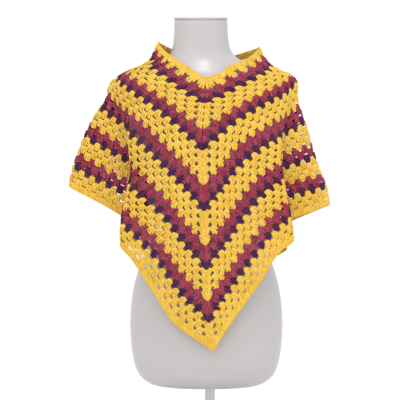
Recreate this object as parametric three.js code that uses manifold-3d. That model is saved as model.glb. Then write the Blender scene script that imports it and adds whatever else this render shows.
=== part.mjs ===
// A crocheted V-neck poncho in colour bands, hung on a limbless dress form with a short stand.
// Millimetres, +Z up, the front faces -Y, +X is the viewer's right, and the origin is the
// centre of the stand's underside.
import * as THREE from 'three'
import { mergeVertices } from 'three/addons/utils/BufferGeometryUtils.js'
import Module from 'manifold-3d'

// The cloth. A row of crochet is about 12 mm high, and rows are counted down from the neck.
const WALL = 4              // thickness of the crocheted cloth
const SEAM = 0.35           // gap between two bands
const CLEARANCE = 1.6       // from the inside of the cloth to the dress form where it rests

// The side lobes and the deep fold in front of and behind each one, as angles about the axis.
const LOBE_HALF_ANGLE = THREE.MathUtils.degToRad(4.8)
const LOBE_POWER = 2.5
const FOLD_ANGLE = THREE.MathUtils.degToRad(13.5)
const FOLD_HALF_ANGLE = THREE.MathUtils.degToRad(7.2)
const REST_BLEND = 5        // how softly the cloth turns off the dress form

// Angles in degrees of the wall's columns on each quarter, from the centre line over the crest
// of the front or back panel, down into the fold, and out to the lobe's edge.
const PANEL_ANGLES = [90, 73, 57, 44, 35, 29]
const FOLD_ANGLES = [25, 22, 19.5, 17.5, 15.5, 13.5, 11.5, 9.5, 7.5, 5.5, 3.5, 1.7, 0]
const ANGLE_STEPS = 180
const WALK_PASSES = 7

// The dress form and its stand.
const FORM_ROUNDNESS = 2.2
const FORM_COLUMNS = 36
const NECK_TILT = THREE.MathUtils.degToRad(4.5)
const NECK_TOP = 975
const NECK_BEND = 905
const CAP = { half: 59, depth: 58, thickness: 5, edge: 1.2, back: 2 }
const GAP = 0.3
const POLE_RADIUS = 11
const SOCKET_DEPTH = 60
const BASE = { radius: 160, thickness: 8, chamfer: 2 }
const HUB = { radius: 26, height: 24, chamfer: 3 }
const ROUND_SIDES = 36

// Horizontal sections of the dress form: half width, and depth before and behind its axis.
const FORM = table(['height', 'axis', 'half', 'front', 'back'], [
  [170, -8, 112, 66, 66],
  [176, -8, 129, 78, 80],
  [192, -8, 150, 93, 95],
  [214, -8, 160, 101, 104],
  [250, -8, 167, 107, 113],
  [300, -8, 170.5, 110, 121],
  [350, -8, 168, 110, 124],
  [400, -8, 160, 107, 117],
  [450, -8, 143, 101, 103],
  [500, -8, 124, 90, 86],
  [545, -8, 117, 86, 77],
  [600, -8, 127, 98, 81],
  [650, -10, 144, 114, 90],
  [700, -12, 160, 122, 100],
  [740, -13, 175, 118, 106],
  [780, -15, 188, 110, 107],
  [812, -16, 191, 102, 104],
  [838, -17, 184, 92, 98],
  [852, -18, 170, 85, 92],
  [864, -18, 144, 78, 85],
  [876, -18, 111, 70, 77],
  [888, -19, 84, 63, 69],
  [900, -19, 67, 58, 63],
  [925, -20, 59, 55, 60],
  [975, -20, 58, 55, 60],
])

// Horizontal sections of the hanging cloth. Panel is the half width before the fold, reach is
// where the side lobe's edge lies, and fold is how deep the fold beside the lobe goes in.
const CLOTH = table(['height', 'axis', 'roundness', 'front', 'back',
  'leftPanel', 'leftReach', 'leftFold', 'rightPanel', 'rightReach', 'rightFold'], [
  [250, 8, 2.3, 124, 132, 226, 302, 50, 250, 280, 40],
  [340, -4, 2.3, 129, 132, 226, 302, 50, 250, 280, 40],
  [430, -8, 2.3, 132, 124, 228, 302, 72, 250, 280, 70],
  [500, -12, 2.3, 134, 120, 226, 302, 93, 248, 280, 97],
  [560, -14, 2.25, 136, 119, 215, 302, 92, 237, 280, 96],
  [610, -15, 2.2, 137, 118, 193, 296, 74, 218, 272, 84],
  [655, -17, 2.2, 136, 118, 178, 284, 58, 208, 256, 62],
  [695, -18, 2.15, 133, 118, 184, 268, 46, 208, 243, 40],
  [735, -17, 2.1, 128, 118, 194, 252, 32, 205, 231, 22],
  [775, -14, 2, 122, 117, 198, 232, 16, 195, 213, 8],
  [805, -12, 1.9, 114, 114, 196, 214, 6, 190, 203, 2],
  [835, -11, 1.85, 104, 108, 190, 208, 0, 188, 202, 0],
  [852, -10, 1.8, 97, 102, 178, 188, 0, 180, 189, 0],
  [866, -9, 1.7, 90, 96, 152, 156, 0, 154, 158, 0],
  [890, -8, 1.6, 80, 88, 120, 122, 0, 126, 128, 0],
  [930, -5, 1.5, 72, 76, 106, 106, 0, 108, 108, 0],
])

// Heights of the neck edge, of the middles of the purple rows, and of the hem, from the centre line
// to the side line. Row 0 is the foundation round.
const ROW_STATIONS = [0, 1 / 6, 1 / 3, 1 / 2, 2 / 3, 5 / 6, 1]
const ROW_COLUMNS = ['row', 'centre', 'sixth', 'third', 'half', 'twoThirds', 'fiveSixths', 'side']
const FRONT_LEFT = table(ROW_COLUMNS, [
  [-0.8, 846, 859, 873, 886, 898, 912, 926],
  [3.5, 794, 811, 830, 850, 867, 881, 893],
  [10.5, 697, 730, 762, 789, 814, 836, 852],
  [17.5, 570, 615, 658, 699, 733, 756, 789],
  [24.5, 445, 503, 565, 611, 645, 685, 723],
  [31.5, 331, 398, 475, 536, 572, 613, 657],
  [36.7, 268, 323, 403, 479, 518, 568, 612],
])
const FRONT_RIGHT = table(ROW_COLUMNS, [
  [-0.8, 846, 853, 869, 879, 889, 902, 915],
  [3.5, 794, 807, 824, 839, 855, 867, 880],
  [10.5, 697, 727, 758, 781, 801, 818, 842],
  [17.5, 570, 613, 660, 695, 719, 732, 755],
  [24.5, 445, 502, 562, 613, 640, 656, 675],
  [31.5, 331, 404, 474, 538, 574, 592, 611],
  [36.7, 268, 341, 413, 484, 518, 545, 571],
])
const CENTRE_BACK = table(['row', 'centre'], [
  [-0.8, 881], [3.5, 824], [10.5, 732], [17.5, 622], [24.5, 511], [31.5, 400], [36.7, 333],
])
const BACK_RISE = [0, 0.2, 0.4, 0.57, 0.73, 0.87, 1]

// The bands from the neck down: what each is, its colour, and the rows it covers.
const COLOURS = { yellow: 0xe8bd51, magenta: 0x963a4d, purple: 0x51294a }
const NECK_EDGE_TOP = -0.8
const LAST_ROW = 36
const HEM_EDGE_BOTTOM = 36.7
const STRIPE_ROWS = [['yellow', 4], ['magenta', 2], ['purple', 1]]
const LINES_APART = [       // rows between a wall's lines of points, closer over the shoulders
  { above: 11, apart: 1 }, { above: 15, apart: 2 }, { above: LAST_ROW, apart: 4 },
]

function table(columns, rows) {
  const keys = rows.map(row => row[0])
  const values = {}
  columns.forEach((name, index) => {
    values[name] = rows.map(row => row[index])
  })
  return { keys, values }
}

// A smooth curve through a table's column that never overshoots its values.
function smooth(xs, ys, x) {
  const last = xs.length - 1
  if (x <= xs[0]) return ys[0]
  if (x >= xs[last]) return ys[last]
  let i = 0
  while (x > xs[i + 1]) i += 1
  const rise = k => (ys[k + 1] - ys[k]) / (xs[k + 1] - xs[k])
  const slope = k => {
    if (k === 0) return rise(0)
    if (k === last) return rise(last - 1)
    const [a, b] = [rise(k - 1), rise(k)]
    return a * b > 0 ? 2 * a * b / (a + b) : 0
  }
  const h = xs[i + 1] - xs[i]
  const s = (x - xs[i]) / h
  return (2 * s ** 3 - 3 * s ** 2 + 1) * ys[i] + (s ** 3 - 2 * s ** 2 + s) * h * slope(i)
    + (3 * s ** 2 - 2 * s ** 3) * ys[i + 1] + (s ** 3 - s ** 2) * h * slope(i + 1)
}

function read(source, column, key) {
  return smooth(source.keys, source.values[column], key)
}

// Radius of a superellipse with half axes a along X and b along Y at an angle from X.
function ovalRadius(angle, a, b, power) {
  return ((Math.abs(Math.cos(angle)) / a) ** power + (Math.abs(Math.sin(angle)) / b) ** power) ** (-1 / power)
}

function formRadius(angle, height, face) {
  return ovalRadius(angle, read(FORM, 'half', height), read(FORM, face, height), FORM_ROUNDNESS)
}

function softMaximum(a, b, blend) {
  const near = Math.max(0, blend - Math.abs(a - b)) / blend
  return Math.max(a, b) + near * near * blend / 4
}

// A point in the middle of the cloth. Angle 0 is the side line and 90 degrees the centre line.
function clothPoint(angle, height, side, face) {
  const name = side < 0 ? 'left' : 'right'
  const panel = read(CLOTH, name + 'Panel', height)
  const reach = read(CLOTH, name + 'Reach', height)
  const fold = read(CLOTH, name + 'Fold', height)
  const axis = read(CLOTH, 'axis', height)
  const oval = ovalRadius(angle, panel, read(CLOTH, face, height), read(CLOTH, 'roundness', height))
  const lobe = (reach - panel) / (1 + Math.abs(angle / LOBE_HALF_ANGLE) ** LOBE_POWER)
  const trough = fold * Math.exp(-(((angle - FOLD_ANGLE) / FOLD_HALF_ANGLE) ** 2))
  const clear = CLEARANCE + WALL / 2
  const form = formRadius(angle, height - clear, face)
  const least = form - side * (axis - read(FORM, 'axis', height)) * Math.cos(angle) + clear
  const radius = softMaximum(oval + lobe - trough, least, REST_BLEND)
  const forward = face === 'front' ? -1 : 1
  return new THREE.Vector3(axis + side * radius * Math.cos(angle), forward * radius * Math.sin(angle), height)
}

function rowHeight(row, share, side, face) {
  const source = side < 0 ? FRONT_LEFT : FRONT_RIGHT
  const front = ROW_COLUMNS.slice(1).map(column => read(source, column, row))
  if (face === 'front') return smooth(ROW_STATIONS, front, share)
  const centre = read(CENTRE_BACK, 'centre', row)
  const edge = front[front.length - 1]
  return smooth(ROW_STATIONS, BACK_RISE.map(rise => centre + (edge - centre) * rise), share)
}

// Points along a quarter of a row at the given angles. A row climbs with its own length, so its
// length and its heights are worked out in turns until they agree.
function rowPoints(row, side, face, degrees) {
  let along = Array.from({ length: ANGLE_STEPS + 1 }, (_, i) => i / ANGLE_STEPS)
  const angles = along.map(share => (1 - share) * Math.PI / 2)
  for (let pass = 0; pass < WALK_PASSES; pass += 1) {
    const points = angles.map((angle, i) => clothPoint(angle, rowHeight(row, along[i], side, face), side, face))
    const lengths = [0]
    for (let i = 1; i < points.length; i += 1) {
      lengths.push(lengths[i - 1] + points[i].distanceTo(points[i - 1]))
    }
    along = lengths.map(length => length / lengths[ANGLE_STEPS])
  }
  return degrees.map(degree => {
    const step = (1 - degree / 90) * ANGLE_STEPS
    const low = Math.min(Math.floor(step), ANGLE_STEPS - 1)
    const share = along[low] + (step - low) * (along[low + 1] - along[low])
    return clothPoint(THREE.MathUtils.degToRad(degree), rowHeight(row, share, side, face), side, face)
  })
}

// A whole round of a row, anticlockwise seen from above, starting at the centre front.
function wholeRow(row) {
  const quarter = (side, face) => rowPoints(row, side, face, [...PANEL_ANGLES, ...FOLD_ANGLES])
  return [
    ...quarter(1, 'front').slice(0, -1),
    ...quarter(1, 'back').reverse().slice(0, -1),
    ...quarter(-1, 'back').slice(0, -1),
    ...quarter(-1, 'front').reverse().slice(0, -1),
  ]
}

// Directions along a row: out of the cloth, and down the cloth across the row.
function rowDirections(row, points) {
  const above = wholeRow(row - 0.3)
  const below = wholeRow(row + 0.3)
  return points.map((_, i) => {
    const before = points[(i + points.length - 1) % points.length]
    const after = points[(i + 1) % points.length]
    const around = after.clone().sub(before).normalize()
    const out = around.clone().cross(above[i].clone().sub(below[i])).normalize()
    return { out, down: out.clone().cross(around).negate() }
  })
}

// A closed body from rings of points: each ring joins the next, and the last joins the first.
// The last strip is halved the other way, so a band's top edge matches the bottom edge above it.
function ringBody(rings) {
  const columns = rings[0].length
  const positions = rings.flat().flatMap(point => [point.x, point.y, point.z])
  const faces = []
  rings.forEach((_, ring) => {
    const closing = ring === rings.length - 1
    const [near, far] = [ring * columns, closing ? 0 : (ring + 1) * columns]
    for (let i = 0; i < columns; i += 1) {
      const j = (i + 1) % columns
      if (closing) faces.push(near + i, far + i, near + j, far + i, far + j, near + j)
      else faces.push(near + i, far + i, far + j, near + i, far + j, near + j)
    }
  })
  return indexed(positions, faces)
}

function indexed(positions, faces) {
  const geometry = new THREE.BufferGeometry()
  geometry.setAttribute('position', new THREE.Float32BufferAttribute(positions, 3))
  geometry.setIndex(faces)
  return geometry
}

// The wall of one band between two rows, with its edges half a seam back from those rows.
function bandWall(top, bottom) {
  const { apart } = LINES_APART.find(({ above }) => bottom <= above) ?? { apart: 1 }
  const count = Math.max(1, Math.round((bottom - top) / apart))
  const outer = []
  const inner = []
  for (let i = 0; i <= count; i += 1) {
    const row = top + (bottom - top) * i / count
    const setBack = i === 0 ? SEAM / 2 : i === count ? -SEAM / 2 : 0
    const points = wholeRow(row)
    const directions = rowDirections(row, points)
    const moved = side => points.map((point, column) => {
      const { out, down } = directions[column]
      return point.clone().addScaledVector(out, side * WALL / 2).addScaledVector(down, setBack)
    })
    outer.push(moved(1))
    inner.unshift(moved(-1))
  }
  return ringBody([...outer, ...inner])
}

// The bands in order, each with its name, colour and rows.
function listBands() {
  const bands = [{ name: 'neck_edging', colour: 'yellow', top: NECK_EDGE_TOP, bottom: 0 }]
  const count = { yellow: 0, magenta: 0, purple: 0 }
  const add = (colour, rows) => {
    const top = bands[bands.length - 1].bottom
    count[colour] += 1
    bands.push({ name: `${colour}_band_${count[colour]}`, colour, top, bottom: top + rows })
  }
  add('yellow', 1)
  add('magenta', 2)
  add('purple', 1)
  while (bands[bands.length - 1].bottom < LAST_ROW) {
    for (const [colour, rows] of STRIPE_ROWS) {
      if (bands[bands.length - 1].bottom < LAST_ROW) add(colour, rows)
    }
  }
  bands.push({ name: 'hem_edging', colour: 'yellow', top: LAST_ROW, bottom: HEM_EDGE_BOTTOM })
  return bands
}

// The torso: sections joined from the flat underside to the tilted top of the neck.
function torsoShell() {
  const rings = FORM.keys.map(height => {
    const ring = []
    for (let i = 0; i < FORM_COLUMNS; i += 1) {
      const angle = 2 * Math.PI * i / FORM_COLUMNS
      const face = Math.sin(angle) < 0 ? 'front' : 'back'
      const radius = formRadius(angle, height, face)
      const y = radius * Math.sin(angle)
      const bend = THREE.MathUtils.clamp((height - NECK_BEND) / (NECK_TOP - NECK_BEND), 0, 1)
      ring.push(new THREE.Vector3(read(FORM, 'axis', height) + radius * Math.cos(angle), y,
        height + bend * Math.tan(NECK_TILT) * y))
    }
    return ring
  })
  const positions = rings.flat().flatMap(point => [point.x, point.y, point.z])
  const faces = []
  for (let ring = 0; ring + 1 < rings.length; ring += 1) {
    for (let i = 0; i < FORM_COLUMNS; i += 1) {
      const j = (i + 1) % FORM_COLUMNS
      const [low, high] = [ring * FORM_COLUMNS, (ring + 1) * FORM_COLUMNS]
      faces.push(low + i, low + j, high + j, low + i, high + j, high + i)
    }
  }
  const top = (rings.length - 1) * FORM_COLUMNS
  for (let i = 1; i + 1 < FORM_COLUMNS; i += 1) {
    faces.push(0, i + 1, i)
    faces.push(top, top + i, top + i + 1)
  }
  return indexed(positions, faces)
}

const wasm = await Module()
wasm.setup()

function toSolid(geometry) {
  const plain = geometry.clone()
  plain.deleteAttribute('normal')
  plain.deleteAttribute('uv')
  const merged = mergeVertices(plain, 1e-4)
  return new wasm.Manifold(new wasm.Mesh({
    numProp: 3,
    vertProperties: new Float32Array(merged.attributes.position.array),
    triVerts: new Uint32Array(merged.index.array),
  }))
}

function toGeometry(solid) {
  const mesh = solid.getMesh()
  return indexed(Array.from(mesh.vertProperties), Array.from(mesh.triVerts))
}

// A turned piece about the Z axis from its profile of [radius, height] points.
function turned(profile) {
  const points = profile.map(([radius, height]) => new THREE.Vector2(radius, height))
  return new THREE.LatheGeometry(points, ROUND_SIDES).rotateX(Math.PI / 2)
}

const UNDERSIDE = FORM.keys[0]
const plasticWhite = { color: 0xc9c3c2, roughness: 0.35, metalness: 0 }
const satinSteel = { color: 0x9a9a9c, roughness: 0.4, metalness: 0.8 }
const poncho = new THREE.Group()

function place(name, geometry, look) {
  const mesh = new THREE.Mesh(geometry, new THREE.MeshStandardMaterial(look))
  mesh.name = name
  poncho.add(mesh)
  return mesh
}

// The cloth, one wall for each band of one colour.
for (const { name, colour, top, bottom } of listBands()) {
  place(name, bandWall(top, bottom), { color: COLOURS[colour], roughness: 0.95, metalness: 0 })
}

// The torso with the blind socket that the pole goes up into.
const socket = new THREE.CylinderGeometry(POLE_RADIUS + GAP, POLE_RADIUS + GAP, 2 * SOCKET_DEPTH, ROUND_SIDES)
socket.rotateX(Math.PI / 2).translate(0, 0, UNDERSIDE)
place('form_torso', toGeometry(toSolid(torsoShell()).subtract(toSolid(socket))), plasticWhite)

// The flat cap on the neck, a disc with eased edges that follows the tilt.
const capProfile = [
  [0, 0], [1 - CAP.edge / CAP.half, 0], [1, CAP.edge], [1, CAP.thickness - CAP.edge],
  [1 - CAP.edge / CAP.half, CAP.thickness], [0, CAP.thickness],
]
const cap = turned(capProfile).scale(CAP.half, CAP.depth, 1)
const capMesh = place('form_neck_cap', cap, plasticWhite)
capMesh.rotation.x = NECK_TILT
capMesh.position.set(read(FORM, 'axis', NECK_TOP), CAP.back, NECK_TOP + CAP.back * Math.tan(NECK_TILT) + GAP)

// The stand: a pole from the base plate up into the torso, a hub around its foot, and the plate.
const poleHeight = UNDERSIDE + SOCKET_DEPTH - GAP - BASE.thickness - GAP
const pole = new THREE.CylinderGeometry(POLE_RADIUS, POLE_RADIUS, poleHeight, ROUND_SIDES)
pole.rotateX(Math.PI / 2).translate(0, 0, BASE.thickness + GAP + poleHeight / 2)
place('stand_pole', pole, satinSteel)

const hubTop = BASE.thickness + GAP + HUB.height
const hub = turned([
  [POLE_RADIUS + GAP, BASE.thickness + GAP], [HUB.radius, BASE.thickness + GAP],
  [HUB.radius, hubTop - HUB.chamfer], [HUB.radius - HUB.chamfer, hubTop],
  [POLE_RADIUS + GAP, hubTop], [POLE_RADIUS + GAP, BASE.thickness + GAP],
])
place('stand_hub', hub, satinSteel)

const plate = turned([
  [0, 0], [BASE.radius, 0], [BASE.radius, BASE.thickness - BASE.chamfer],
  [BASE.radius - BASE.chamfer, BASE.thickness], [0, BASE.thickness],
])
place('stand_base', plate, satinSteel)

export default poncho
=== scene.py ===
import math

import bmesh
import bpy
import numpy as np
from bpy.props import FloatProperty, FloatVectorProperty, IntProperty, PointerProperty
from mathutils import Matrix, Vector


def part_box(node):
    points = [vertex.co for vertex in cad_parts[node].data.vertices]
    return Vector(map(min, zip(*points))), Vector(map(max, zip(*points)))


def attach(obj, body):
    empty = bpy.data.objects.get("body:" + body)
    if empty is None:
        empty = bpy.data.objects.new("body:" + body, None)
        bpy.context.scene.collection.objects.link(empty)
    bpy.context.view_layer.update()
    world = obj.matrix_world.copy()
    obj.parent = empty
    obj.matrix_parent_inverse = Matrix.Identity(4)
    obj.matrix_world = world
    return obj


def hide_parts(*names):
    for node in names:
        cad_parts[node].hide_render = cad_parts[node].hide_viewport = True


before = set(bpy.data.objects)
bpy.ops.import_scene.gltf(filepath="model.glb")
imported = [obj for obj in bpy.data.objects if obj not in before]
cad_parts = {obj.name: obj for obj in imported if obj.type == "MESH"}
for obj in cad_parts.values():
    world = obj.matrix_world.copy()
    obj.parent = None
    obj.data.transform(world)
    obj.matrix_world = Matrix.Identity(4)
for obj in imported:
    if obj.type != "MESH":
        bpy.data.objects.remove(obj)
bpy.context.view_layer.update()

bl_info = {
    "name": "Crocheted Poncho on a Dress Form",
    "version": (1, 0, 0),
    "blender": (4, 5, 0),
    "location": "View3D > Sidebar > Poncho",
    "description": "Builds a crocheted poncho in bands of granny stitch around a limbless dress form",
    "category": "Object",
}

MM = 0.001
JUST_INSIDE = 1e-6          # keeps a place off the very end of its table or quarter

# The drape. Heights, half widths and depths are millimetres, as in the frame's own source.
WALL = 4
CLEARANCE = 1.6             # from the inside of the cloth to the dress form where it rests
LOBE_HALF_ANGLE = math.radians(4.8)
LOBE_POWER = 2.5
FOLD_ANGLE = math.radians(13.5)
FOLD_HALF_ANGLE = math.radians(7.2)
REST_BLEND = 5              # how softly the cloth turns off the dress form
FORM_ROUNDNESS = 2.2
WALK_STEPS = 180            # steps along a quarter of a round
WALK_PASSES = 7             # passes that even those steps out
LINE_APART = 0.25           # rows from one line of the drape to the next
CORNER_FLAT = 13            # how far the flat of a round's corner reaches


def table(columns, rows):
    """A table of named columns, whose first column is the key."""
    keys = np.array([row[0] for row in rows], float)
    return keys, {name: np.array([row[i] for row in rows], float) for i, name in enumerate(columns)}


# Horizontal sections of the dress form: half width, and depth before and behind its axis.
FORM = table(["height", "axis", "half", "front", "back"], [
    [170, -8, 112, 66, 66],
    [176, -8, 129, 78, 80],
    [192, -8, 150, 93, 95],
    [214, -8, 160, 101, 104],
    [250, -8, 167, 107, 113],
    [300, -8, 170.5, 110, 121],
    [350, -8, 168, 110, 124],
    [400, -8, 160, 107, 117],
    [450, -8, 143, 101, 103],
    [500, -8, 124, 90, 86],
    [545, -8, 117, 86, 77],
    [600, -8, 127, 98, 81],
    [650, -10, 144, 114, 90],
    [700, -12, 160, 122, 100],
    [740, -13, 175, 118, 106],
    [780, -15, 188, 110, 107],
    [812, -16, 191, 102, 104],
    [838, -17, 184, 92, 98],
    [852, -18, 170, 85, 92],
    [864, -18, 144, 78, 85],
    [876, -18, 111, 70, 77],
    [888, -19, 84, 63, 69],
    [900, -19, 67, 58, 63],
    [925, -20, 59, 55, 60],
    [975, -20, 58, 55, 60],
])

# Horizontal sections of the hanging cloth. Panel is the half width before the fold, reach is
# where the side lobe's edge lies, and fold is how deep the fold beside the lobe goes in.
CLOTH = table(["height", "axis", "roundness", "front", "back",
               "leftPanel", "leftReach", "leftFold", "rightPanel", "rightReach", "rightFold"], [
    [250, 8, 2.3, 124, 132, 226, 302, 50, 250, 280, 40],
    [340, -4, 2.3, 129, 132, 226, 302, 50, 250, 280, 40],
    [430, -8, 2.3, 132, 124, 228, 302, 72, 250, 280, 70],
    [500, -12, 2.3, 134, 120, 226, 302, 93, 248, 280, 97],
    [560, -14, 2.25, 136, 119, 215, 302, 92, 237, 280, 96],
    [610, -15, 2.2, 137, 118, 193, 296, 74, 218, 272, 84],
    [655, -17, 2.2, 136, 118, 178, 284, 58, 208, 256, 62],
    [695, -18, 2.15, 133, 118, 184, 268, 46, 208, 243, 40],
    [735, -17, 2.1, 128, 118, 194, 252, 32, 205, 231, 22],
    [775, -14, 2, 122, 117, 198, 232, 16, 195, 213, 8],
    [805, -12, 1.9, 114, 114, 196, 214, 6, 190, 203, 2],
    [835, -11, 1.85, 104, 108, 190, 208, 0, 188, 202, 0],
    [852, -10, 1.8, 97, 102, 178, 188, 0, 180, 189, 0],
    [866, -9, 1.7, 90, 96, 152, 156, 0, 154, 158, 0],
    [890, -8, 1.6, 80, 88, 120, 122, 0, 126, 128, 0],
    [930, -5, 1.5, 72, 76, 106, 106, 0, 108, 108, 0],
])

# Heights of the neck edge, of the first row's foot, of the middles of the purple rows, and of the hem,
# from the centre line to the side line. Row 0 is the foundation round.
ROW_STATIONS = np.array([0, 1 / 6, 1 / 3, 1 / 2, 2 / 3, 5 / 6, 1])
ROW_COLUMNS = ["row", "centre", "sixth", "third", "half", "twoThirds", "fiveSixths", "side"]
FRONT_LEFT = table(ROW_COLUMNS, [
    [-0.8, 846, 859, 873, 886, 898, 912, 926],
    [1, 819, 833.5, 849.5, 865.5, 879.5, 894, 907],
    [3.5, 794, 811, 830, 850, 867, 881, 893],
    [10.5, 697, 730, 762, 789, 814, 836, 852],
    [17.5, 570, 615, 658, 699, 733, 756, 789],
    [24.5, 445, 503, 565, 611, 645, 685, 723],
    [31.5, 331, 398, 475, 536, 572, 613, 657],
    [35.7, 268, 323, 403, 479, 518, 568, 612],
])
FRONT_RIGHT = table(ROW_COLUMNS, [
    [-0.8, 846, 853, 869, 879, 889, 902, 915],
    [1, 819, 828, 845, 857, 869.5, 882, 895.5],
    [3.5, 794, 807, 824, 839, 855, 867, 880],
    [10.5, 697, 727, 758, 781, 801, 818, 842],
    [17.5, 570, 613, 660, 695, 719, 732, 755],
    [24.5, 445, 502, 562, 613, 640, 656, 675],
    [31.5, 331, 404, 474, 538, 574, 592, 611],
    [35.7, 268, 341, 413, 484, 518, 545, 571],
])
CENTRE_BACK = table(["row", "centre"], [
    [-0.8, 881], [1, 852], [3.5, 824], [10.5, 732], [17.5, 622], [24.5, 511], [31.5, 400], [35.7, 333],
])
BACK_RISE = np.array([0, 0.2, 0.4, 0.57, 0.73, 0.87, 1])

# The stitches. Row r has 5.5 + r / 2 clusters on each quarter, and rows are worked from the neck down.
NECK_EDGE_TOP = -0.8
LAST_ROW = 35
HEM_EDGE_BOTTOM = 35.7
FIRST_CLUSTERS = 5.5
EDGINGS = {                 # the row that each edging starts from, and the line that it is worked to
    "neck_edging": (0, NECK_EDGE_TOP),
    "hem_edging": (LAST_ROW, HEM_EDGE_BOTTOM),
}
FIRST_STRIPES = [("yellow", 1), ("magenta", 2), ("purple", 1)]      # colours and their rows
STRIPE_ROWS = [("yellow", 4), ("magenta", 2), ("purple", 1)]        # repeated down to the hem
POST_SIDES = 6
CHAIN_SIDES = 5
CHAIN_STEPS = 8             # sections of the chain on a cluster's width
CHAIN_OUT = 0.7             # how far the chain stands out over a cluster's foot
CHAIN_TONES = (0.3, 0.7)    # the least and the most of its tone
RUN_LENGTH = 10             # millimetres of yarn to one unit of its UV map

# A chain's half width and half depth, and how much thinner it is in the gaps.
ROW_CHAIN = {"wide": 1.9, "deep": 1.2, "thin": 0.45}
EDGE_CHAIN = {"wide": 1.7, "deep": 1.3, "thin": 0}

# The corners, where two clusters fan out of one gap. Lengths are cluster widths, but for the stitches'
# feet and tops, which are spacings from the middle of the fan.
CORNER_NEIGHBOUR = 0.47     # from a fan's neighbour back to the gap between them
CORNER_PUSH = 0.22          # how far the fan pushes its neighbours aside on the first row
CORNER_GROWTH = 0.015       # how much farther on each row below
CORNER_PUSH_MOST = 0.5      # how far at most
CORNER_FADE = 0.35          # how fast the push dies away, a cluster
CORNER_FEET = np.array([-2.75, -1.75, -0.75, 0.75, 1.75, 2.75])
CORNER_TOPS = np.array([-2.3, -1.3, -0.4, 0.4, 1.3, 2.3])
CORNER_DIP = 0.3            # how far a fan pulls up the row above, as a share of another gap's pull
FOUNDATION_DIP = 0.25       # how far the first row pulls up the foundation chain, as such a share


def smooth(xs, ys, x):
    """A smooth curve through the points that never overshoots them; ys may hold a curve per row of x."""
    x = np.asarray(x, float)
    ys = np.asarray(ys, float)
    rise = np.diff(ys, axis=-1) / np.diff(xs)
    before, after = rise[..., :-1], rise[..., 1:]
    total = np.where(before * after > 0, before + after, 1)
    inner = np.where(before * after > 0, 2 * before * after / total, 0)
    slopes = np.concatenate([rise[..., :1], inner, rise[..., -1:]], axis=-1)
    held = np.clip(x, xs[0], xs[-1])
    i = np.clip(np.searchsorted(xs, held, side="right") - 1, 0, len(xs) - 2)
    h = xs[i + 1] - xs[i]
    s = (held - xs[i]) / h

    def at(values, index):
        """The values at an index, where each row may have its own."""
        if values.ndim == 1:
            return values[index]
        by_row = np.broadcast_to(values, index.shape[:-1] + values.shape[-1:])
        return np.take_along_axis(by_row, index, -1)

    return ((2 * s ** 3 - 3 * s ** 2 + 1) * at(ys, i) + (s ** 3 - 2 * s ** 2 + s) * h * at(slopes, i)
            + (3 * s ** 2 - 2 * s ** 3) * at(ys, i + 1) + (s ** 3 - s ** 2) * h * at(slopes, i + 1))


def read(source, column, key):
    """A table's column at any key."""
    return smooth(source[0], source[1][column], key)


def oval_radius(angle, a, b, power):
    """Radius of a superellipse with half axes a along X and b along Y at an angle from X."""
    return ((np.abs(np.cos(angle)) / a) ** power + (np.abs(np.sin(angle)) / b) ** power) ** (-1 / power)


def cloth_points(angle, height, side, face):
    """Points in the middle of the cloth. Angle 0 is the side line and a right angle the centre line."""
    name = "left" if side < 0 else "right"
    panel = read(CLOTH, name + "Panel", height)
    axis = read(CLOTH, "axis", height)
    oval = oval_radius(angle, panel, read(CLOTH, face, height), read(CLOTH, "roundness", height))
    lobe = read(CLOTH, name + "Reach", height) - panel
    lobe = lobe / (1 + np.abs(angle / LOBE_HALF_ANGLE) ** LOBE_POWER)
    trough = read(CLOTH, name + "Fold", height) * np.exp(-((angle - FOLD_ANGLE) / FOLD_HALF_ANGLE) ** 2)
    clear = CLEARANCE + WALL / 2
    under = height - clear
    form = oval_radius(angle, read(FORM, "half", under), read(FORM, face, under), FORM_ROUNDNESS)
    least = form - side * (axis - read(FORM, "axis", height)) * np.cos(angle) + clear
    wanted = oval + lobe - trough
    near = np.maximum(0, REST_BLEND - np.abs(wanted - least)) / REST_BLEND
    radius = np.maximum(wanted, least) + near * near * REST_BLEND / 4
    forward = -1 if face == "front" else 1
    return np.stack([axis + side * radius * np.cos(angle), forward * radius * np.sin(angle),
                     np.broadcast_to(height, radius.shape)], axis=-1)


def row_heights(rows, share, side, face):
    """Heights along rows at a share of each row's length, from the centre line to the side line."""
    source = FRONT_LEFT if side < 0 else FRONT_RIGHT
    front = np.stack([read(source, column, rows) for column in ROW_COLUMNS[1:]], axis=-1)
    if face == "front":
        return smooth(ROW_STATIONS, front, share)
    centre = read(CENTRE_BACK, "centre", rows)[:, None]
    return smooth(ROW_STATIONS, centre + (front[:, -1:] - centre) * BACK_RISE, share)


def flatten_corner(points, lengths):
    """Makes the sharp corner of each row on the centre line a short flat, as a fan of stitches hangs."""
    along = np.linspace(0, 1, points.shape[1]) * lengths[:, None]
    near = along < CORNER_FLAT * 2
    slope = np.array([
        np.polyfit(distance[close], height[close], 1)[0]
        for distance, height, close in zip(along, points[:, :, 2], near)
    ])
    points[:, :, 2] -= slope[:, None] * along * np.exp(-(along / CORNER_FLAT) ** 2)
    return points


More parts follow.
